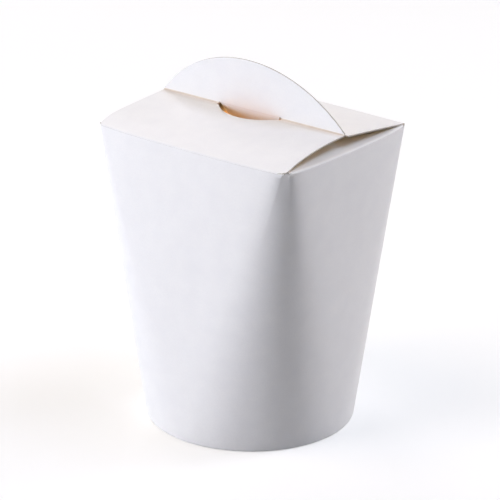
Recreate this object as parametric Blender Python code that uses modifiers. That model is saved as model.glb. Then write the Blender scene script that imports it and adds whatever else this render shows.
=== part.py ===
"""A noodle takeaway box: a round paper base under walls that open out to an oblong top, shut by
two inner side flaps and two lid flaps, the front one carrying a half-round carrying tab.

The walls and the four flaps are one folded blank of board, and the base is a disc with a turned-down
skirt, held in the hem at the foot of the walls. The box is shut, so below its lid it is solid.

Metres, +Z up, origin at the middle of the foot. The front faces -Y. Run it with
    blender --background --python part.py
"""

import math

import bmesh
import bpy
from mathutils import Matrix, Vector

# Driving dimensions
WALL_HEIGHT = 0.104  # foot to the tips of the top corners
FOOT_RADIUS = 0.036
TOP_HALF_WIDTH = 0.0395  # along X, to the corners
TOP_HALF_DEPTH = 0.0325  # along Y, to the corners
CORNER_RADIUS = 0.0014
BOARD = 0.0005
GAP = 0.0003  # between neighbouring pieces

# Top edge: each side bows outwards and dips between the corners
SIDE_BOW = 0.0013
BOW_POWER = 3.0
LID_CREASE_DIP = 0.0003  # front and back
SIDE_CREASE_DIP = 0.0006  # left and right
DIP_POWER = 4.0
HEADSPACE_FLOOR = 0.097  # top of the solid pack under the lid
SIDE_FAN = math.radians(9)  # arc of the foot that one straight top side runs down to

# Foot: the wall's hem turns up inside it and holds the base disc's skirt
HEM_INNER_RADIUS = 0.0336
HEM_HEIGHT = 0.005
SKIRT_RADIUS = 0.0349
BASE_HEIGHT = 0.0075  # top of the base disc

# Lid
RIDGE_HEIGHT = 0.1081
FLAP_EDGE_INSET = 0.0006  # the flaps' cut edges stand back from the corners
FLARE = 0.004  # length over which a lid flap widens from its crease
FRONT_DOME = 2.2  # power of the front flap's bulge
REAR_DOME = 1.05  # the rear flap is almost a straight slope

# Carrying tab, folded up from the front flap
TAB_HEIGHT = 0.0187
TAB_HALF_WIDTH = 0.0381
TAB_SHOULDER = 0.0004  # straight side edge above the fold
TAB_LEAN = math.radians(9)  # towards the front
NOTCH_HALF_WIDTH = 0.0132
NOTCH_DEPTH = 0.0070
KERF = 0.0001  # the tongue is this much smaller than its notch

# Inner side flaps
SIDE_FLAP_LENGTH = 0.027
SIDE_FLAP_SLOPE = math.radians(3)  # down towards the middle
SIDE_FLAP_TAPER = 0.0055
SIDE_FLAP_HALF_WIDTH = 0.0305

# Mesh density
SIDE_STEPS = 12
CORNER_STEPS = 12
ARC_STEPS = 40
FOOT_STEPS = 96

WHITE_OUTSIDE = (0.90, 0.90, 0.90, 1)
CREAM_INSIDE = (0.86, 0.80, 0.68, 1)


def clear_scene():
    for old in list(bpy.data.objects):
        bpy.data.objects.remove(old)


def board_material(name, colour):
    material = bpy.data.materials.new(name)
    material.use_nodes = True
    shader = material.node_tree.nodes["Principled BSDF"]
    shader.inputs["Base Color"].default_value = colour
    shader.inputs["Roughness"].default_value = 0.6
    shader.inputs["Metallic"].default_value = 0.0
    return material


def new_object(name, mesh, collection, material=None):
    piece = bpy.data.objects.new(name, mesh)
    collection.objects.link(piece)
    if material:
        mesh.materials.append(material)
    return piece


def shade(piece):
    piece.data.shade_smooth()
    piece.data.set_sharp_from_angle(angle=math.radians(35))


def bow(share):
    """Outward bulge of a top side, at a share from -1 to 1 of the way between its corners."""
    return SIDE_BOW * (1 - abs(share) ** BOW_POWER)


def dip(share, depth):
    return depth * (1 - abs(share) ** DIP_POWER)


def lid_crease(x):
    """(distance from the middle, height) of the front or back crease's top face, at x."""
    share = max(-1.0, min(1.0, x / TOP_HALF_WIDTH))
    return TOP_HALF_DEPTH + bow(share), WALL_HEIGHT - dip(share, LID_CREASE_DIP)


def side_crease(y):
    share = max(-1.0, min(1.0, y / TOP_HALF_DEPTH))
    return TOP_HALF_WIDTH + bow(share), WALL_HEIGHT - dip(share, SIDE_CREASE_DIP)


def top_edge():
    """The wall's outer top edge, anticlockwise from the front: a list of (foot angle, point).
    Along a side it stops one board and one gap below the flap that lies on it."""
    under_flap = BOARD + GAP
    across = TOP_HALF_WIDTH - CORNER_RADIUS
    along = TOP_HALF_DEPTH - CORNER_RADIUS
    points = []
    for side in range(4):
        facing = math.radians(-90 + 90 * side)
        turn = Matrix.Rotation(facing + math.pi / 2, 3, "Z")
        half, reach = (across, along) if side % 2 == 0 else (along, across)
        crease = lid_crease if side % 2 == 0 else side_crease
        for step in range(SIDE_STEPS):
            share = -1 + 2 * step / SIDE_STEPS
            out, height = crease(share * half)
            point = turn @ Vector((share * half, -out, height - under_flap))
            points.append((facing + share * SIDE_FAN / 2, point))
        start_out, start_height = crease(half)
        next_crease = side_crease if side % 2 == 0 else lid_crease
        end_out, end_height = next_crease(-reach)
        lift = math.radians(90) - SIDE_FAN
        for step in range(CORNER_STEPS):
            share = step / CORNER_STEPS
            angle = share * math.pi / 2
            swing = Vector((math.sin(angle) * (end_out - half), -math.cos(angle) * (start_out - reach), 0))
            base_height = start_height + (end_height - start_height) * share - under_flap
            peak = (1 - (2 * share - 1) ** 2) * (WALL_HEIGHT - base_height)
            point = turn @ (Vector((half, -reach, 0)) + swing)
            point.z = base_height + peak
            points.append((facing + SIDE_FAN / 2 + lift * share, point))
    return points


def wall_ring(edge, height, inset=0.0):
    """The wall's outline at a height, drawn in by inset. A height of None is its top edge."""
    ring = []
    for angle, top in edge:
        foot = Vector((math.cos(angle), math.sin(angle), 0)) * FOOT_RADIUS
        share = 1.0 if height is None else height / top.z
        point = foot.lerp(top, share)
        flat = Vector((point.x, point.y, 0))
        ring.append(point - flat.normalized() * inset)
    return ring


def round_ring(edge, radius, height):
    return [Vector((math.cos(a) * radius, math.sin(a) * radius, height)) for a, _ in edge]


def lofted_body(name, collection, material):
    """The walls with the solid pack inside them, from the floor under the lid round to the foot."""
    edge = top_edge()
    hem_outer = HEM_INNER_RADIUS + BOARD
    ceiling = BASE_HEIGHT + GAP
    rings = [
        wall_ring(edge, HEADSPACE_FLOOR, BOARD),
        wall_ring(edge, None, BOARD),
        wall_ring(edge, None),
        wall_ring(edge, WALL_HEIGHT * 2 / 3),
        wall_ring(edge, WALL_HEIGHT / 3),
        wall_ring(edge, 0.0),
        round_ring(edge, HEM_INNER_RADIUS, 0.0),
        round_ring(edge, HEM_INNER_RADIUS, HEM_HEIGHT),
        round_ring(edge, hem_outer, HEM_HEIGHT),
        round_ring(edge, hem_outer, BOARD),
        wall_ring(edge, BOARD, BOARD),
        wall_ring(edge, ceiling, BOARD),
    ]
    shape = bmesh.new()
    loops = [[shape.verts.new(p) for p in ring] for ring in rings]
    count = len(edge)
    for upper, lower in zip(loops, loops[1:]):
        for i in range(count):
            j = (i + 1) % count
            shape.faces.new((upper[i], lower[i], lower[j], upper[j]))
    shape.faces.new(loops[0])
    shape.faces.new(reversed(loops[-1]))
    bmesh.ops.triangulate(shape, faces=[f for f in shape.faces if len(f.verts) > 4])
    bmesh.ops.recalc_face_normals(shape, faces=shape.faces)
    mesh = bpy.data.meshes.new(name)
    shape.to_mesh(mesh)
    shape.free()
    piece = new_object(name, mesh, collection, material)
    shade(piece)
    return piece


def turned_base(name, collection, material):
    """The base disc with its turned-down skirt, an upside-down dish."""
    inner = SKIRT_RADIUS - BOARD
    profile = [
        (0, BASE_HEIGHT),
        (SKIRT_RADIUS, BASE_HEIGHT),
        (SKIRT_RADIUS, BOARD + GAP),
        (inner, BOARD + GAP),
        (inner, BASE_HEIGHT - BOARD),
        (0, BASE_HEIGHT - BOARD),
    ]
    mesh = bpy.data.meshes.new(name)
    edges = [(i, i + 1) for i in range(len(profile) - 1)]
    mesh.from_pydata([(r, 0, z) for r, z in profile], edges, [])
    piece = new_object(name, mesh, collection, material)
    screw = piece.modifiers.new("Turn", "SCREW")
    screw.steps = FOOT_STEPS
    screw.render_steps = FOOT_STEPS
    screw.use_merge_vertices = True
    screw.merge_threshold = 0.00001
    return piece


def sheet(name, columns, rows, place, collection, material):
    """A sheet of board from a grid: place(u, v) gives its top face, u and v running from 0 to 1.
    Solidify adds the board's thickness below it."""
    shape = bmesh.new()
    bmesh.ops.create_grid(shape, x_segments=columns, y_segments=rows, size=0.5)
    for vertex in shape.verts:
        vertex.co = place(vertex.co.x + 0.5, vertex.co.y + 0.5)
    mesh = bpy.data.meshes.new(name)
    shape.to_mesh(mesh)
    shape.free()
    piece = new_object(name, mesh, collection, material)
    thicken = piece.modifiers.new("Board", "SOLIDIFY")
    thicken.thickness = BOARD
    thicken.offset = -1
    return piece


def lid_half_width(reach):
    """Half the width of a lid flap at a distance from its crease: it flares out of the corners."""
    narrow = TOP_HALF_WIDTH - CORNER_RADIUS
    wide = TOP_HALF_WIDTH - FLAP_EDGE_INSET
    share = min(1.0, reach / FLARE)
    return narrow + (wide - narrow) * math.sqrt(share * (2 - share))


def lid_flap(name, facing, free_edge, dome, collection, material):
    """A domed lid flap. facing is -1 at the front and 1 at the back; free_edge is y at the ridge."""

    def place(u, v):
        reach = TOP_HALF_DEPTH * v ** 1.3
        x = (2 * u - 1) * lid_half_width(reach)
        out, height = lid_crease(x)
        start = facing * out
        y = start + (free_edge - start) * v ** 1.3
        rise = 1 - abs(y / out) ** dome
        return Vector((facing * x * -1, y, height + (RIDGE_HEIGHT - height) * rise))

    return sheet(name, 24, 14, place, collection, material)


def mesh_of_curve(curve_object, collection):
    """The curve's mesh as a new object in place of the curve, welded, each cap one flat face."""
    graph = bpy.context.evaluated_depsgraph_get()
    mesh = bpy.data.meshes.new_from_object(curve_object.evaluated_get(graph))
    made = bpy.data.objects.new(curve_object.name + "_solid", mesh)
    made.matrix_world = curve_object.matrix_world.copy()
    collection.objects.link(made)
    shape = bmesh.new()
    shape.from_mesh(mesh)
    bmesh.ops.remove_doubles(shape, verts=shape.verts, dist=0.000005)
    bmesh.ops.dissolve_limit(shape, angle_limit=0.001, verts=shape.verts, edges=shape.edges)
    shape.to_mesh(mesh)
    shape.free()
    bpy.data.objects.remove(curve_object)
    return made


def arc(half_chord, sagitta, steps, sign=1):
    """Points of an arc from (half_chord, 0) to (-half_chord, 0), bulging by sagitta."""
    radius = (half_chord**2 + sagitta**2) / (2 * sagitta)
    sweep = math.asin(half_chord / radius)
    centre = sagitta - radius
    angles = [sweep - 2 * sweep * i / steps for i in range(steps + 1)]
    return [(radius * math.sin(a), sign * (centre + radius * math.cos(a))) for a in angles]


def tab_outline():
    """The carrying tab in its own plane, the fold at height 0, with the tongue below it."""
    half = TAB_HALF_WIDTH
    crown = [
        (x, y + TAB_SHOULDER) for x, y in arc(half, TAB_HEIGHT - TAB_SHOULDER, ARC_STEPS)
    ]
    tongue = arc(NOTCH_HALF_WIDTH - KERF, NOTCH_DEPTH - KERF, ARC_STEPS // 2, sign=-1)
    fold = -BOARD * 0.7
    outer_fold = -BOARD * 0.5  # not in line with the rest, which keeps the join clean
    left = [(-half, outer_fold), (-NOTCH_HALF_WIDTH, fold)]
    right = [(NOTCH_HALF_WIDTH, fold), (half, outer_fold)]
    dipped = [(x, y) for x, y in reversed(tongue) if y < fold]
    return crown + left + dipped + right


def tab(collection):
    data = bpy.data.curves.new("tab", "CURVE")
    data.dimensions = "2D"
    data.fill_mode = "BOTH"
    data.extrude = BOARD / 2
    outline = tab_outline()
    spline = data.splines.new("POLY")
    spline.points.add(len(outline) - 1)
    for point, (x, y) in zip(spline.points, outline):
        point.co = (x, y, 0, 1)
    spline.use_cyclic_u = True
    curve = bpy.data.objects.new("tab", data)
    collection.objects.link(curve)
    curve.location = (0, BOARD / 2, RIDGE_HEIGHT)
    curve.rotation_euler = (math.radians(90) + TAB_LEAN, 0, 0)
    bpy.context.view_layer.update()
    return mesh_of_curve(curve, collection)


def notch_cutter(collection):
    """A cylinder whose edge crosses the ridge at the ends of the tongue."""
    radius = (NOTCH_HALF_WIDTH**2 + NOTCH_DEPTH**2) / (2 * NOTCH_DEPTH)
    shape = bmesh.new()
    bmesh.ops.create_cone(
        shape, cap_ends=True, segments=FOOT_STEPS, radius1=radius, radius2=radius, depth=0.02
    )
    mesh = bpy.data.meshes.new("notch")
    shape.to_mesh(mesh)
    shape.free()
    cutter = new_object("notch", mesh, collection)
    cutter.location = (0, radius - NOTCH_DEPTH, RIDGE_HEIGHT)
    return cutter


def boolean(piece, other, operation):
    step = piece.modifiers.new(operation.title(), "BOOLEAN")
    step.operation = operation
    step.solver = "EXACT"
    step.object = other
    other.hide_render = True
    other.display_type = "WIRE"


def front_flap(name, collection, helpers, material):
    """The front lid flap runs half a board past the ridge and is joined there to its tab."""
    piece = lid_flap(name, -1, BOARD / 2, FRONT_DOME, collection, material)
    boolean(piece, notch_cutter(helpers), "DIFFERENCE")
    boolean(piece, tab(helpers), "UNION")
    return piece


def side_flap(name, facing, collection, material):
    """An inner side flap. facing is -1 at the left and 1 at the right."""

    def place(u, v):
        reach = SIDE_FLAP_LENGTH * v
        half = SIDE_FLAP_HALF_WIDTH - SIDE_FLAP_TAPER * v - 0.004 * v**8
        y = (2 * u - 1) * half
        out, height = side_crease(y)
        x = facing * (out - reach)
        return Vector((x, y * facing, height - reach * math.tan(SIDE_FLAP_SLOPE)))

    return sheet(name, 14, 12, place, collection, material)


def build():
    clear_scene()
    box = bpy.data.collections.new("noodle_box")
    helpers = bpy.data.collections.new("cutters")
    for collection in (box, helpers):
        bpy.context.scene.collection.children.link(collection)
    outside = board_material("white_board", WHITE_OUTSIDE)
    inside = board_material("base_board", CREAM_INSIDE)
    lofted_body("carton_body", box, outside)
    turned_base("base_disc", box, inside)
    side_flap("side_flap_left", -1, box, outside)
    side_flap("side_flap_right", 1, box, outside)
    rear_edge = BOARD / 2 + BOARD / 2 + GAP
    lid_flap("rear_lid_flap", 1, rear_edge, REAR_DOME, box, outside)
    front_flap("front_lid_flap", box, helpers, outside)


build()
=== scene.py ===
"""Looks for a shut noodle takeaway box of folded food board, in metres, +Z up, front towards -Y."""

import bisect
import functools
import math
import bpy
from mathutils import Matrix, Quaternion, Vector


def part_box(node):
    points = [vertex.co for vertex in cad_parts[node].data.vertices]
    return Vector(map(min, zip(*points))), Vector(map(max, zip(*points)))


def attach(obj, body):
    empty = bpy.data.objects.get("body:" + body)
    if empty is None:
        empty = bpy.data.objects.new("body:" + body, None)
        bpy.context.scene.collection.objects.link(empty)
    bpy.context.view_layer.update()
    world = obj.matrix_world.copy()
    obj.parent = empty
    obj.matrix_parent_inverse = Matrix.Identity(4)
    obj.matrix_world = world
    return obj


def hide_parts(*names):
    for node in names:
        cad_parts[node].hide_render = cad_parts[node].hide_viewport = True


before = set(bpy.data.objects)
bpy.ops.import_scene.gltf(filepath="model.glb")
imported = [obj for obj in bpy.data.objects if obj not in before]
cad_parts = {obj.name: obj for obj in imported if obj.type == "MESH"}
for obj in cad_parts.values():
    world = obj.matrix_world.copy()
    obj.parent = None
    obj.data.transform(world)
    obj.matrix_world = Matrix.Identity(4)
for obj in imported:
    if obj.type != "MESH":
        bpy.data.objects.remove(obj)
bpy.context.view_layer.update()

# ---------------------------------------------------------------------------------------------
# Wall
# One fan of folding boxboard wrapped round and glued down a side seam at the back. Its foot is a
# circle and its top an oblong with soft corners. The foot edge is turned in and up, as a hem that
# grips the base.

BOARD = 0.00045  # folding boxboard of about 300 g per square metre
WALL_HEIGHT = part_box("carton_body")[1].z
FOOT_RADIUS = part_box("carton_body")[1].y
TOP_HALF_WIDTH = 0.0395
TOP_HALF_DEPTH = 0.0325
CORNER_RADIUS = 0.0014
SIDE_BOW = 0.0013
LID_CREASE_DIP = 0.0003
SIDE_CREASE_DIP = 0.0006
SIDE_FAN = math.radians(9)  # arc of the foot below one straight top side
FOLD_RADIUS = 0.0007  # of the outer face at a crease
EDGE_DROP = FOLD_RADIUS * 0.8  # of the wall's top edge below the crease, where the fold begins
SIDE_SHARE = 0.7  # of the way round from one corner to the next; the corner takes the rest
SIDE_COLUMNS = 24
CORNER_COLUMNS = 16
WALL_ROWS = 40
HEM_ROWS = 14
HEM_LEG_ROWS = 3  # of the hem's rows, on its straight inner leg
HEM_RADIUS = 0.00095
HEM_HEIGHT = 0.0055
SEAM_PLACE = 2.52  # on the back, towards its left corner
SEAM_LAP = 0.13
SEAM_RAMP = 0.35
WARP = 0.00008  # how far the board strays from a true surface
SLACK_PLACE = 0.85  # the front right corner; the one opposite is two sides on
SLACK_SPREAD = 0.62  # of a side, from the slack corner to where the wall is tight again
SLACK_REACH = 0.020  # how far round the wall the board is eased, at its most
LEAST_EASING = 0.0001
SLACK_STEPS = 10
RING_STEPS = 280
ROW_CROWDING = 1.6  # crowds the wall's rows towards its top edge
SHEET_GAP = 0.00003  # between two faces of board glued together
LEAST_COLUMN = 0.004  # of a side, so no column of the wall beside the seam is a sliver
WELD = 0.00001


def linear(hex_colour):
    """An sRGB hex colour as the linear RGBA that a socket takes."""
    parts = [int(hex_colour[i : i + 2], 16) / 255 for i in (1, 3, 5)]
    return [p / 12.92 if p < 0.04045 else ((p + 0.055) / 1.055) ** 2.4 for p in parts] + [1]


def add_node(material, kind, links=None, **settings):
    """Adds a node. settings fill its sockets and properties, links maps its inputs to sockets."""
    node = material.node_tree.nodes.new(kind)
    for name, value in settings.items():
        socket = name.replace("_", " ").title()
        if hasattr(node, name):
            setattr(node, name, value)
        else:
            node.inputs[socket].default_value = value
    for name, source in (links or {}).items():
        material.node_tree.links.new(source, node.inputs[name])
    return node


def board_material(name, colour, shade, roughness, fibre_mm, relief):
    """A face of the board: clouded in colour at 6 mm and at the fibre's size, with a faint relief."""
    material = bpy.data.materials.new(name)
    material.use_nodes = True
    shader = material.node_tree.nodes["Principled BSDF"]
    place = add_node(material, "ShaderNodeTexCoord").outputs["Object"]
    cloud = add_node(material, "ShaderNodeTexNoise", {"Vector": place}, scale=1 / 0.006, detail=3.0)
    fibre = add_node(
        material, "ShaderNodeTexNoise", {"Vector": place}, scale=1000 / fibre_mm, detail=4.0
    )
    both = add_node(
        material,
        "ShaderNodeMath",
        {0: cloud.outputs["Fac"], 1: fibre.outputs["Fac"]},
        operation="MULTIPLY",
    )
    ramp = add_node(material, "ShaderNodeValToRGB", {"Fac": both.outputs[0]})
    ramp.color_ramp.elements[0].position = 0.12
    ramp.color_ramp.elements[0].color = linear(shade)
    ramp.color_ramp.elements[1].position = 0.38
    ramp.color_ramp.elements[1].color = linear(colour)
    material.node_tree.links.new(ramp.outputs["Color"], shader.inputs["Base Color"])
    bump = add_node(
        material, "ShaderNodeBump", {"Height": fibre.outputs["Fac"]}, strength=relief, distance=0.0001
    )
    material.node_tree.links.new(bump.outputs["Normal"], shader.inputs["Normal"])
    shader.inputs["Roughness"].default_value = roughness
    shader.inputs["IOR"].default_value = 1.5
    shader.inputs["Specular IOR Level"].default_value = 0.35
    return material


# Clay coating, matt and very smooth: white, with the faintest clouding and no visible fibre.
coated_white = board_material("clay_coated_white_boxboard", "#F3F3F2", "#EFEFEF", 0.55, 0.5, 0.05)
# The back of the board is bare pulp: pale manila, with short fibres that show close up.
cream_back = board_material("cream_manila_board_back", "#F2D5A4", "#E8C892", 0.8, 0.35, 0.25)
# A knife cut shows the middle plies: rough, greyer and a little yellow.
cut_edge = board_material("cut_edge_of_boxboard", "#CCC8C1", "#B8B3AB", 0.9, 0.25, 0.3)


def bow(share):
    """How far a top side bulges outwards, at a share from -1 to 1 between its corners."""
    return SIDE_BOW * (1 - min(1, abs(share)) ** 3)


def lid_crease(x):
    """(distance from the middle, height) of the front or back crease, at x."""
    share = min(1, abs(x) / TOP_HALF_WIDTH)
    return TOP_HALF_DEPTH + bow(share), WALL_HEIGHT - LID_CREASE_DIP * (1 - share**4)


def side_crease(y):
    share = min(1, abs(y) / TOP_HALF_DEPTH)
    return TOP_HALF_WIDTH + bow(share), WALL_HEIGHT - SIDE_CREASE_DIP * (1 - share**4)


def quarter_turned(point, quarters):
    x, y = point.x, point.y
    for _ in range(quarters % 4):
        x, y = -y, x
    return Vector((x, y, point.z))


def wall_line(place):
    """(foot angle, top point) of the wall's straight line at a place round it. Place 0 is the
    front's left end and each whole number the next side's start; its last 0.3 is the corner."""
    side = math.floor(place)
    part = place - side
    wide = side % 2 == 0
    across = TOP_HALF_WIDTH - CORNER_RADIUS
    along = TOP_HALF_DEPTH - CORNER_RADIUS
    half, reach = (across, along) if wide else (along, across)
    crease, next_crease = (lid_crease, side_crease) if wide else (side_crease, lid_crease)
    facing = -math.pi / 2 + side * math.pi / 2
    if part < SIDE_SHARE:
        share = 2 * part / SIDE_SHARE - 1
        out, height = crease(share * half)
        top = Vector((share * half, -out, height - EDGE_DROP))
        return facing + share * SIDE_FAN / 2, quarter_turned(top, side)
    share = (part - SIDE_SHARE) / (1 - SIDE_SHARE)
    swing = share * math.pi / 2
    out, height = crease(half)
    next_out, next_height = next_crease(reach)
    top = Vector(
        (
            half + math.sin(swing) * (next_out - half),
            -reach - math.cos(swing) * (out - reach),
            height + (next_height - height) * share - EDGE_DROP * (2 * share - 1) ** 4,
        )
    )
    turn = SIDE_FAN / 2 + share * (math.pi / 2 - SIDE_FAN)
    return facing + turn, quarter_turned(top, side)


def warp(point):
    """The board's slight waviness, a smooth push in or out of the wall."""
    around = math.atan2(point.y, point.x)
    wave = math.sin(3 * around + 55 * point.z) + 0.6 * math.sin(7 * around - 90 * point.z + 1)
    fade = math.sin(math.pi * min(1, max(0, point.z / WALL_HEIGHT)))
    return WARP * wave * fade


def tight_point(place, share):
    """A point of the wall as if drawn tight: share runs from 0 at the top edge to 1 at the foot."""
    angle, top = wall_line(place)
    foot = Vector((math.cos(angle) * FOOT_RADIUS, math.sin(angle) * FOOT_RADIUS, HEM_RADIUS))
    return top.lerp(foot, share)


@functools.lru_cache(maxsize=4)
def ring(share):
    """The tight wall's outline at a share, twice round, with the length run up to each point."""
    points = [tight_point(4 * i / RING_STEPS, share) for i in range(2 * RING_STEPS + 1)]
    run = [0.0]
    for a, b in zip(points, points[1:]):
        run.append(run[-1] + (b - a).length)
    return points, run


def slackness(place, share):
    """How far the board eases round the front right corner and the one opposite, which are slack.
    The creases above and the base below hold it, and the other two corners are drawn tight."""
    off = abs((place - SLACK_PLACE + 1) % 2 - 1)
    held = share**0.22 * (1 - share**4)
    return SLACK_REACH * held * math.cos(min(1.0, off / SLACK_SPREAD) * math.pi / 2) ** 1.5


def eased_point(place, share, reach):
    """The tight wall averaged over a length of its outline, reach to either side of a place."""
    points, run = ring(share)
    spot = (place % 4) / 4 * RING_STEPS
    middle = run[int(spot)] + (run[int(spot) + 1] - run[int(spot)]) * (spot % 1)
    if middle < run[RING_STEPS] / 2:
        middle += run[RING_STEPS]
    total, weights = Vector(), 0.0
    for step in range(-SLACK_STEPS, SLACK_STEPS + 1):
        length = middle + reach * step / SLACK_STEPS
        i = bisect.bisect_right(run, length) - 1
        part = (length - run[i]) / (run[i + 1] - run[i])
        weight = math.cos(step / (SLACK_STEPS + 1) * math.pi / 2) ** 2
        total += points[i].lerp(points[i + 1], part) * weight
        weights += weight
    return total / weights


def wall_point(place, share, outset=0.0):
    """A point of the wall's outer face, at a share from 0 at the top edge to 1 above the hem."""
    point = tight_point(place, share)
    reach = slackness(place, share)
    if reach > LEAST_EASING:
        eased = eased_point(place, share, reach)
        point = Vector((eased.x, eased.y, point.z))
    return point + Vector((point.x, point.y, 0)).normalized() * (outset + warp(point))


def deselect():
    if bpy.context.object and bpy.context.object.mode != "OBJECT":
        bpy.ops.object.mode_set(mode="OBJECT")
    bpy.ops.object.select_all(action="DESELECT")


def board_sheet(name, columns, rows, place):
    """A blank of board as a grid of columns by rows faces, bent to shape: place(column, row) gives
    the point of its coated face at each crossing. It has no thickness yet."""
    deselect()
    bpy.ops.mesh.primitive_grid_add(x_subdivisions=columns, y_subdivisions=rows, size=2)
    sheet = bpy.context.object
    sheet.name = sheet.data.name = name
    for vertex in sheet.data.vertices:
        column = round((vertex.co.x + 1) / 2 * columns)
        row = round((vertex.co.y + 1) / 2 * rows)
        vertex.co = place(column, row)
    return sheet


def join(sheets):
    """Makes one blank of sheets that share edges."""
    deselect()
    for sheet in sheets:
        sheet.select_set(True)
    bpy.context.view_layer.objects.active = sheets[0]
    bpy.ops.object.join()
    bpy.ops.object.mode_set(mode="EDIT")
    bpy.ops.mesh.select_all(action="SELECT")
    bpy.ops.mesh.remove_doubles(threshold=WELD)
    bpy.ops.object.mode_set(mode="OBJECT")
    return sheets[0]


def thicken(sheet, coated_up=True):
    """Gives a blank its thickness, with a coated face, a bare back and cut edges."""
    deselect()
    sheet.select_set(True)
    bpy.context.view_layer.objects.active = sheet
    for finish in (coated_white, cream_back, cut_edge):
        sheet.data.materials.append(finish)
    if not coated_up:
        bpy.ops.object.mode_set(mode="EDIT")
        bpy.ops.mesh.select_all(action="SELECT")
        bpy.ops.mesh.flip_normals()
        bpy.ops.object.mode_set(mode="OBJECT")
    board = sheet.modifiers.new("board", "SOLIDIFY")
    board.thickness = BOARD
    board.offset = -1
    board.use_even_offset = True
    board.material_offset = 1
    board.material_offset_rim = 2
    bpy.ops.object.modifier_apply(modifier="board")
    bpy.ops.object.shade_smooth_by_angle(angle=math.radians(40))
    return sheet


def wall_places():
    """The places of the wall's columns, from the seam all the way round to the end of its lap."""
    steps = []
    for side in range(2, 8):
        steps += [side + SIDE_SHARE * i / SIDE_COLUMNS for i in range(SIDE_COLUMNS)]
        corner = (1 - SIDE_SHARE) / CORNER_COLUMNS
        steps += [side + SIDE_SHARE + corner * i for i in range(CORNER_COLUMNS)]
    end = SEAM_PLACE + 4 + SEAM_LAP
    inside = [s for s in steps if SEAM_PLACE + LEAST_COLUMN < s < end - LEAST_COLUMN]
    return [SEAM_PLACE] + inside + [end]


places = wall_places()


def lap_outset(place):
    """The outer end of the wall climbs on to the inner one ahead of the seam."""
    climb = (place - (SEAM_PLACE + 4 - SEAM_RAMP)) / SEAM_RAMP
    climb = max(0.0, min(1.0, climb))
    return (BOARD + SHEET_GAP) * climb * climb * (3 - 2 * climb)


def wall_place(column, row):
    place = places[column]
    outset = lap_outset(place)
    if row <= WALL_ROWS:
        return wall_point(place, (row / WALL_ROWS) ** ROW_CROWDING, outset)
    angle = wall_line(place)[0]
    curl_rows = HEM_ROWS - HEM_LEG_ROWS
    curl = (row - WALL_ROWS) / curl_rows
    lift = HEM_RADIUS
    if curl > 1:
        lift += (HEM_HEIGHT - HEM_RADIUS) * (curl - 1) * curl_rows / HEM_LEG_ROWS
        curl = 1
    turn = curl * math.pi
    edge = wall_point(place, 1, outset)
    radius = math.hypot(edge.x, edge.y) - HEM_RADIUS + HEM_RADIUS * math.cos(turn)
    height = lift - HEM_RADIUS * math.sin(turn)
    return Vector((radius * math.cos(angle), radius * math.sin(angle), height))


wall = thicken(
    board_sheet("wall", len(places) - 1, WALL_ROWS + HEM_ROWS, wall_place), coated_up=False
)
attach(wall, "root")
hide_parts("carton_body")

# ---------------------------------------------------------------------------------------------
# Base
# A disc of the same board with its rim pressed down into a skirt, like the bottom of a paper cup.
# The skirt is held between the wall and its hem, so the disc sits a few millimetres off the table.

BASE_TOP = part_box("base_disc")[1].z
SKIRT_GAP = 0.0001
SKIRT_RADIUS = FOOT_RADIUS - BOARD - SKIRT_GAP
SKIRT_FOOT = 0.0012
RIM_BAND = 0.0022  # flat band between the pressed rim and the rest of the disc
RING_BAND = 0.012
RIM_ROUNDING = 0.0010
BASE_SIDES = 128

deselect()
bpy.ops.mesh.primitive_circle_add(
    vertices=BASE_SIDES, radius=SKIRT_RADIUS, fill_type="NGON", location=(0, 0, BASE_TOP)
)
base = bpy.context.object
base.name = base.data.name = "base"
bpy.ops.object.transform_apply(location=True)
bpy.ops.object.mode_set(mode="EDIT")
bpy.ops.mesh.select_all(action="SELECT")
for band in (RIM_BAND, RING_BAND, RING_BAND):
    bpy.ops.mesh.inset(thickness=band)
bpy.ops.mesh.select_all(action="DESELECT")
bpy.ops.mesh.select_mode(type="EDGE")
bpy.ops.object.mode_set(mode="OBJECT")
for edge in base.data.edges:
    ends = [base.data.vertices[i].co for i in edge.vertices]
    edge.select = all(math.hypot(end.x, end.y) > SKIRT_RADIUS - RIM_BAND / 2 for end in ends)
bpy.ops.object.mode_set(mode="EDIT")
bpy.ops.mesh.extrude_region_move(TRANSFORM_OT_translate={"value": (0, 0, SKIRT_FOOT - BASE_TOP)})
bpy.ops.object.mode_set(mode="OBJECT")
round_rim = base.modifiers.new("pressed_rim", "BEVEL")
round_rim.width = RIM_ROUNDING
round_rim.segments = 5
round_rim.limit_method = "ANGLE"
bpy.ops.object.modifier_apply(modifier="pressed_rim")
thicken(base)
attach(base, "root")
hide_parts("base_disc")

# ---------------------------------------------------------------------------------------------
# Side flaps
# The two short sides end in flaps folded in first, almost flat under the lid. Only the fold and a
# strip of the flap's coated face show, in the slit below the crowned lid.

SIDE_FLAP_LENGTH = 0.0270
SIDE_FLAP_SLOPE = math.radians(-0.4)  # downwards, so it rises a little
SIDE_FLAP_LIFT = 0.0016  # its middle springs up towards the lid
SIDE_FLAP_TAPER = 0.0055
SIDE_FLAP_ROUNDING = 0.004  # taken off its free corners
SIDE_FLAP_HALF_WIDTH = TOP_HALF_DEPTH - CORNER_RADIUS
FOLD_ROWS = 8
SIDE_FLAP_ROWS = 16
SIDE_FLAP_COLUMNS = 28


def fold(corner, before, after, radius, share):
    """A point on the rounded fold at a corner. before and after point away from the corner along
    the board on its two sides, and share runs from 0 to 1 from one side to the other."""
    before, after = before.normalized(), after.normalized()
    half = before.angle(after) / 2
    reach = radius / math.tan(half)
    centre = corner + (before + after).normalized() * (radius / math.sin(half))
    start = (corner + before * reach - centre).normalized()
    end = (corner + after * reach - centre).normalized()
    return centre + start.slerp(end, share) * radius


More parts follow.
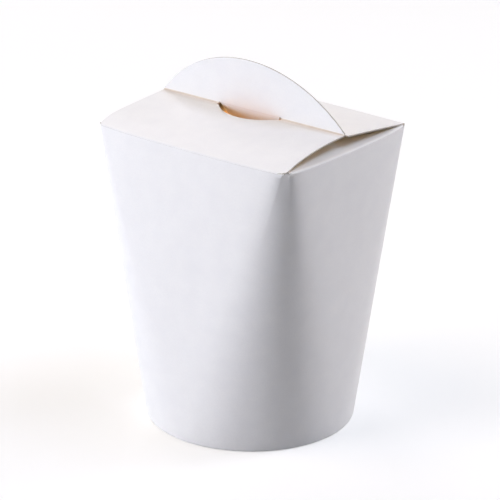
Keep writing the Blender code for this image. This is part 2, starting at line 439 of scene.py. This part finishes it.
def down_wall(facing, share):
    """Direction from a crease down the wall below it. facing counts sides from the front."""
    angle, top = wall_line(facing + SIDE_SHARE * (share * 0.9999 + 1) / 2)
    foot = Vector((math.cos(angle) * FOOT_RADIUS, math.sin(angle) * FOOT_RADIUS, 0))
    return foot - top


def side_flap(name, side):
    """side is 1 for the right-hand flap and 3 for the left-hand one."""

    def place(column, row):
        share = 2 * column / SIDE_FLAP_COLUMNS - 1
        out, height = side_crease(share * SIDE_FLAP_HALF_WIDTH)
        corner = Vector((share * SIDE_FLAP_HALF_WIDTH, -out, height))
        inward = Vector((0, math.cos(SIDE_FLAP_SLOPE), -math.sin(SIDE_FLAP_SLOPE)))
        if row <= FOLD_ROWS:
            down = quarter_turned(down_wall(side, share), -side % 4)
            point = fold(corner, down, inward, FOLD_RADIUS, row / FOLD_ROWS)
        else:
            flat_length = SIDE_FLAP_LENGTH - FOLD_RADIUS
            reach = FOLD_RADIUS + flat_length * (row - FOLD_ROWS) / SIDE_FLAP_ROWS
            along = reach / SIDE_FLAP_LENGTH
            narrowing = SIDE_FLAP_TAPER * along + SIDE_FLAP_ROUNDING * along**8
            half = SIDE_FLAP_HALF_WIDTH - narrowing
            point = Vector((share * half, corner.y, corner.z)) + inward * reach
            point.z += SIDE_FLAP_LIFT * (1 - share**2) * math.sin(along * math.pi / 2)
        return quarter_turned(point, side)

    return thicken(board_sheet(name, SIDE_FLAP_COLUMNS, FOLD_ROWS + SIDE_FLAP_ROWS, place))


for flap_name, flap_side in (("side_flap_right", 1), ("side_flap_left", 3)):
    flap = side_flap(flap_name + "_board", flap_side)
    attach(flap, "root")
    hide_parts(flap_name)

# ---------------------------------------------------------------------------------------------
# Rear lid flap
# Folded in from the back, almost straight, up to the ridge, where its cut edge stops behind the
# carrying tab.

RIDGE_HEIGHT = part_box("rear_lid_flap")[1].z
LID_NARROW = TOP_HALF_WIDTH - 0.0008  # at the crease
LID_WIDE = TOP_HALF_WIDTH - 0.0005  # past the flare
LID_FLARE = 0.0013
REAR_DOME = 1.05  # 1 is a straight slope and 2 a round bulge
LID_COLUMNS = 48
LID_ROWS = 28
LID_CROWDING = 1.2  # crowds the lid's rows towards the crease


def lid_half_width(reach):
    """Half the width of a lid flap at a distance from its crease: it flares out of the corners."""
    share = max(0.0, min(1.0, reach / LID_FLARE))
    return LID_NARROW + (LID_WIDE - LID_NARROW) * math.sqrt(share * (2 - share))


def lid_height(x, y, dome):
    out, height = lid_crease(x)
    return height + (RIDGE_HEIGHT - height) * (1 - min(1, abs(y) / out) ** dome)


def lid_point(share, row, side, free_edge, dome):
    """A point of a lid flap, worked out as if it were at the front. free_edge is the y it ends at."""
    x = share * LID_NARROW
    out, height = lid_crease(x)
    corner = Vector((x, -out, height))
    near = -out + 2 * FOLD_RADIUS
    slope = Vector((x, near, lid_height(x, near, dome))) - corner
    if row <= FOLD_ROWS:
        down = quarter_turned(down_wall(side, share), -side % 4)
        return fold(corner, down, slope, FOLD_RADIUS, row / FOLD_ROWS)
    along = ((row - FOLD_ROWS) / LID_ROWS) ** LID_CROWDING
    start = -out + FOLD_RADIUS * 0.9
    y = start + (free_edge - start) * along
    x = share * lid_half_width(y - start)
    return Vector((x, y, lid_height(x, y, dome)))


REAR_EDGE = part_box("rear_lid_flap")[0].y


def rear_place(column, row):
    share = 2 * column / LID_COLUMNS - 1
    return quarter_turned(lid_point(share, row, 2, -REAR_EDGE, REAR_DOME), 2)


rear_flap = thicken(board_sheet("rear_flap_board", LID_COLUMNS, FOLD_ROWS + LID_ROWS, rear_place))
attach(rear_flap, "root")
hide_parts("rear_lid_flap")

# ---------------------------------------------------------------------------------------------
# Front lid flap and carrying tab
# One piece: the flap bulges up to the ridge, where the half-round tab is folded up out of it and
# leans a little forwards. A half-moon cut in the flap stays in the plane of the tab as a tongue
# that dips below the ridge.

TAB_LEAN = math.radians(9)
TAB_HALF_WIDTH = 0.0381
TAB_HEIGHT = 0.0187
TAB_SHOULDER = 0.0004
NOTCH_HALF_WIDTH = 0.0134
NOTCH_DEPTH = 0.0070
NOTCH_BLUNT = 0.0013  # the cut starts square off the ridge
NOTCH_SHIFT = -0.0010  # the knife fell a little to the left of the middle
TONGUE_DEPTH = 0.0065
TONGUE_HALF_WIDTH = 0.0124
TONGUE_END = 0.00015  # height of the tongue left at its two ends
FRONT_DOME = 2.2  # at the crease
RIGHT_DOME = 2.5  # of the bulge at the right end
LEFT_STEEP_DOME = 8.0  # the left end climbs steeply off the crease
LEFT_STEEP_SHARE = 0.45  # of its height, and the rest in a straight slope
SETTLE_ROWS = 6  # over which the flap passes from its crease to its own bulge
VALLEY_RADIUS = 0.0006
VALLEY_REACH = VALLEY_RADIUS * 0.95
VALLEY_ROWS = 6
# The strip of painted shade along the valley fold: its width on the flap, and where it stops above
# the ridge.
FOLD_SHADE_WIDTH = 0.0034  # of the flap in front of the valley fold
FOLD_SHADE_TOP = 0.0005  # above the ridge
FOLD_SHADE_FADE = 0.0002
LEAST_STRIP = 0.0002  # so that a strip of the tab never shrinks to nothing
TAB_ROWS = 20
TONGUE_ROWS = 10
EDGE_COLUMNS = 26  # on each side of the notch
NOTCH_COLUMNS = 30
SLIT_SHARES = (0, 0.1, 0.4)  # columns across the slit between notch and tongue


def between(material, value, low, high):
    """The share, kept within 0 and 1, that a socket's value has run from low to high."""
    node = add_node(material, "ShaderNodeMapRange", {"Value": value})
    node.inputs["From Min"].default_value = low
    node.inputs["From Max"].default_value = high
    return node.outputs["Result"]


# What the white is multiplied by as painted shade, from the edge of the shaded strip, at 0, to the
# fold, at 1.
FOLD_SHADE_COLOURS = ((0.4, "#F9F7F5"), (0.8, "#F3ECE6"), (0.9, "#E2D7CB"), (0.965, "#EAE1D7"))


def painted_fold_shade(material):
    """Darkens a copy of the white coating along the valley fold, on the flap's side of it, as painted
    shade.
    """
    fold_shaded_copy = material.copy()
    fold_shaded_copy.name = material.name + "_painted_fold_shade"
    shader = fold_shaded_copy.node_tree.nodes["Principled BSDF"]
    plain = shader.inputs["Base Color"].links[0].from_socket
    place = add_node(fold_shaded_copy, "ShaderNodeTexCoord").outputs["Object"]
    parts = add_node(fold_shaded_copy, "ShaderNodeSeparateXYZ", {"Vector": place})
    nearness = between(fold_shaded_copy, parts.outputs["Y"], -FOLD_SHADE_WIDTH, 0.0)
    fold_shade_ramp = add_node(fold_shaded_copy, "ShaderNodeValToRGB", {"Fac": nearness})
    ramp = fold_shade_ramp.color_ramp.elements
    ramp[0].color = ramp[1].color = linear("#FFFFFF")
    for position, shade_colour in FOLD_SHADE_COLOURS:
        ramp.new(position).color = linear(shade_colour)
    top = RIDGE_HEIGHT + FOLD_SHADE_TOP
    below = between(fold_shaded_copy, parts.outputs["Z"], top, top - FOLD_SHADE_FADE)
    # Multiplies the white by the painted shade.
    shade_multiply = add_node(
        fold_shaded_copy, "ShaderNodeMix", {"Factor": below}, data_type="RGBA", blend_type="MULTIPLY"
    )
    colour_a, colour_b = [socket for socket in shade_multiply.inputs if socket.type == "RGBA"]
    fold_shaded_copy.node_tree.links.new(plain, colour_a)
    fold_shaded_copy.node_tree.links.new(fold_shade_ramp.outputs["Color"], colour_b)
    result = next(socket for socket in shade_multiply.outputs if socket.type == "RGBA")
    fold_shaded_copy.node_tree.links.new(result, shader.inputs["Base Color"])
    return fold_shaded_copy


# Painted shade: the white is darkened and warmed along the valley fold, standing in for the warm
# shade and bounced light where the tab stands up off the flap. It is darkest at the fold and fades
# out over about 3 mm of the flap.
white_with_painted_fold_shade = painted_fold_shade(coated_white)


def arc_depth(x, half_chord, depth):
    """Depth at x of a round arc over a chord."""
    radius = (half_chord**2 + depth**2) / (2 * depth)
    return math.sqrt(max(0, radius**2 - x * x)) - (radius - depth) if abs(x) < half_chord else 0


def tab_up(height):
    """Point of the tab's front face above the fold, in the plane x = 0."""
    return Vector((0, -math.sin(TAB_LEAN) * height, RIDGE_HEIGHT + math.cos(TAB_LEAN) * height))


def tab_crown(x):
    return TAB_SHOULDER + arc_depth(x, TAB_HALF_WIDTH, TAB_HEIGHT - TAB_SHOULDER)


def flap_columns():
    """Column positions across the flap, closer towards the ends, with one at each end of the
    notch and of the tongue."""
    edge = [math.sin(math.pi / 2 * i / EDGE_COLUMNS) for i in range(1, EDGE_COLUMNS)] + [1]
    left, right = NOTCH_SHIFT - NOTCH_HALF_WIDTH, NOTCH_SHIFT + NOTCH_HALF_WIDTH
    slit = NOTCH_HALF_WIDTH - TONGUE_HALF_WIDTH
    swing = [math.pi / 2 * (2 * i / NOTCH_COLUMNS - 1) for i in range(NOTCH_COLUMNS + 1)]
    return (
        [left - (TAB_HALF_WIDTH + left) * e for e in reversed(edge)]
        + [left + share * slit for share in SLIT_SHARES]
        + [NOTCH_SHIFT + TONGUE_HALF_WIDTH * math.sin(s) for s in swing]
        + [right - share * slit for share in reversed(SLIT_SHARES)]
        + [right + (TAB_HALF_WIDTH - right) * e for e in edge]
    )


across = flap_columns()
first_notch = EDGE_COLUMNS
first_tongue = first_notch + len(SLIT_SHARES)
last_notch = first_tongue + NOTCH_COLUMNS + len(SLIT_SHARES)


def flap_rise(x, y):
    """The front flap's own bulge: fuller towards the right, straighter towards the left."""
    out, height = lid_crease(x)
    part = min(1, abs(y) / out)
    full = 1 - part**RIGHT_DOME
    straight = 1 - part + LEFT_STEEP_SHARE * (part - part**LEFT_STEEP_DOME)
    right = x / (2 * TOP_HALF_WIDTH) + 0.5
    return height + (RIDGE_HEIGHT - height) * (straight + (full - straight) * right)


def front_place(column, row):
    x = across[column]
    depth = VALLEY_REACH
    if first_notch < column < last_notch:
        arc = arc_depth(x - NOTCH_SHIFT, NOTCH_HALF_WIDTH, NOTCH_DEPTH)
        depth = max(NOTCH_BLUNT, arc)
    point = lid_point(x / TAB_HALF_WIDTH, row, 0, -depth, FRONT_DOME)
    if row > FOLD_ROWS:
        settle = min(1, (row - FOLD_ROWS) / SETTLE_ROWS)
        point.x += (x - point.x) * settle * (row - FOLD_ROWS) / LID_ROWS
        point.z += (flap_rise(point.x, point.y) - point.z) * settle
    return point


def valley(x, share):
    ridge = Vector((x, 0, RIDGE_HEIGHT))
    along_flap = Vector((x, -VALLEY_REACH, flap_rise(x, -VALLEY_REACH))) - ridge
    return fold(ridge, along_flap, tab_up(1), VALLEY_RADIUS, share)


def valley_place(first):
    def place(column, row):
        x = across[first + column]
        if row == 0:
            return front_place(first + column, FOLD_ROWS + LID_ROWS)
        if row == VALLEY_ROWS:
            return tab_place(first + column, 0)
        return valley(x, row / VALLEY_ROWS)

    return place


def tab_place(column, row):
    x = across[column]
    low = VALLEY_REACH
    high = max(tab_crown(x), low + LEAST_STRIP)
    return tab_up(low + (high - low) * row / TAB_ROWS) + Vector((x, 0, 0))


def tongue_place(column, row):
    x = across[first_tongue + column]
    dip = arc_depth(x - NOTCH_SHIFT, TONGUE_HALF_WIDTH, TONGUE_DEPTH)
    if column in (0, NOTCH_COLUMNS):
        dip = TONGUE_END - VALLEY_REACH
    return tab_up(VALLEY_REACH - (VALLEY_REACH + dip) * row / TONGUE_ROWS) + Vector((x, 0, 0))


last = len(across) - 1
front_flap = board_sheet("front_flap_and_tab_board", last, FOLD_ROWS + LID_ROWS, front_place)
left_valley = board_sheet("left_valley", first_notch, VALLEY_ROWS, valley_place(0))
right_valley = board_sheet("right_valley", last - last_notch, VALLEY_ROWS, valley_place(last_notch))
tab = board_sheet("tab", last, TAB_ROWS, tab_place)
tongue = board_sheet("tongue", NOTCH_COLUMNS, TONGUE_ROWS, tongue_place)
bpy.context.view_layer.objects.active = tongue
tongue.select_set(True)
bpy.ops.object.mode_set(mode="EDIT")
bpy.ops.mesh.select_all(action="SELECT")
bpy.ops.mesh.flip_normals()
join([front_flap, left_valley, right_valley, tab, tongue])
thicken(front_flap)
# The flap's white carries the painted shade along the valley fold.
front_flap.data.materials[0] = white_with_painted_fold_shade
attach(front_flap, "root")
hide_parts("front_lid_flap")

# ---------------------------------------------------------------------------------------------
# Studio
# A pale sweep of paper, soft boxes round the table, and a long lens.

FLOOR_GLOW = 0.47  # lifts the lit paper just to white, and leaves the shadow on it
WORLD_LIGHT = 0.02
LAMP_DISTANCE = 1.2
LAMP_SIZE = 0.55
CAMERA_TARGET = Vector((-0.00037, -0.00030, 0.05858))


def looked_at(material):
    """1 where a surface is looked at, straight or in a shiny or clear thing, and 0 where it
    only lights the rest."""
    path = add_node(material, "ShaderNodeLightPath").outputs
    mirrored = add_node(
        material,
        "ShaderNodeMath",
        {0: path["Is Glossy Ray"], 1: path["Is Transmission Ray"]},
        operation="ADD",
    )
    seen = add_node(
        material,
        "ShaderNodeMath",
        {0: path["Is Camera Ray"], 1: mirrored.outputs[0]},
        operation="ADD",
    )
    return seen.outputs[0]


deselect()
bpy.ops.mesh.primitive_plane_add(size=8)
floor = bpy.context.object
floor.name = floor.data.name = "studio_floor"
sweep = bpy.data.materials.new("white_paper_sweep")
sweep.use_nodes = True
sweep.node_tree.nodes.clear()
paper = add_node(sweep, "ShaderNodeBsdfDiffuse")
paper.inputs["Color"].default_value = linear("#CBCBCB")
glow = add_node(sweep, "ShaderNodeEmission")
brightness = add_node(sweep, "ShaderNodeMath", {0: looked_at(sweep)}, operation="MULTIPLY")
brightness.inputs[1].default_value = FLOOR_GLOW
sweep.node_tree.links.new(brightness.outputs[0], glow.inputs["Strength"])
both = add_node(sweep, "ShaderNodeAddShader", {0: paper.outputs[0], 1: glow.outputs[0]})
add_node(sweep, "ShaderNodeOutputMaterial", {"Surface": both.outputs[0]})
floor.data.materials.append(sweep)

world = bpy.data.worlds.new("studio")
bpy.context.scene.world = world
world.use_nodes = True
backdrop = world.node_tree.nodes["Background"]
backdrop.inputs["Color"].default_value = linear("#FFFFFF")
least = add_node(world, "ShaderNodeMath", {0: looked_at(world)}, operation="MAXIMUM")
least.inputs[1].default_value = WORLD_LIGHT
world.node_tree.links.new(least.outputs[0], backdrop.inputs["Strength"])


def soft_box(name, azimuth, elevation, power, colour):
    """A square lamp aimed at the middle of the box. Azimuth 0 is in front of it, 90 on its right."""
    turn, lift = math.radians(azimuth), math.radians(elevation)
    towards = Vector(
        (math.sin(turn) * math.cos(lift), -math.cos(turn) * math.cos(lift), math.sin(lift))
    )
    data = bpy.data.lights.new(name, "AREA")
    data.size = LAMP_SIZE
    data.energy = power
    data.color = linear(colour)[:3]
    lamp = bpy.data.objects.new(name, data)
    bpy.context.scene.collection.objects.link(lamp)
    lamp.location = towards * LAMP_DISTANCE + Vector((0, 0, 0.06))
    lamp.rotation_euler = towards.to_track_quat("Z", "Y").to_euler()


soft_box("key_low_left", -30, 10, 9.4, "#EAEFFF")
soft_box("left_side", -62, 10, 3.4, "#F0F8FF")
soft_box("rear_right_low", 150, 10, 6.4, "#FFF4F1")
soft_box("rear_right", 150, 35, 1.4, "#F6FBFF")
soft_box("rear_left", -120, 35, 3.5, "#FFFAF9")
soft_box("front_top_warm", -30, 62, 4.4, "#FFE4C6")
soft_box("right_top_cool", 120, 62, 6.2, "#DFE9FF")

# Thin board lets a little light through. This stands in for it, so the notch and the slit below
# the lid look into a warm, dim inside instead of a black one.
inside = bpy.data.lights.new("glow_through_board", "POINT")
inside.shadow_soft_size = 0.015
inside.energy = 0.026
inside.color = linear("#FFE4BA")[:3]
inside_lamp = bpy.data.objects.new("glow_through_board", inside)
bpy.context.scene.collection.objects.link(inside_lamp)
inside_lamp.location = (0, 0.018, 0.075)

CAMERA_AZIMUTH = math.radians(38.44)
CAMERA_ELEVATION = math.radians(21.49)
CAMERA_ROLL = math.radians(0.47)
CAMERA_DISTANCE = 0.9417
camera_data = bpy.data.cameras.new("camera")
camera_data.sensor_width = 36
camera_data.lens = 200.2
camera_data.clip_end = 50
camera = bpy.data.objects.new("camera", camera_data)
bpy.context.scene.collection.objects.link(camera)
back = Vector(
    (
        math.sin(CAMERA_AZIMUTH) * math.cos(CAMERA_ELEVATION),
        -math.cos(CAMERA_AZIMUTH) * math.cos(CAMERA_ELEVATION),
        math.sin(CAMERA_ELEVATION),
    )
)
camera.location = CAMERA_TARGET + back * CAMERA_DISTANCE
level = back.to_track_quat("Z", "Y")
camera.rotation_euler = (level @ Quaternion((0, 0, 1), CAMERA_ROLL)).to_euler()
bpy.context.scene.camera = camera

bpy.context.scene.view_settings.view_transform = "Standard"
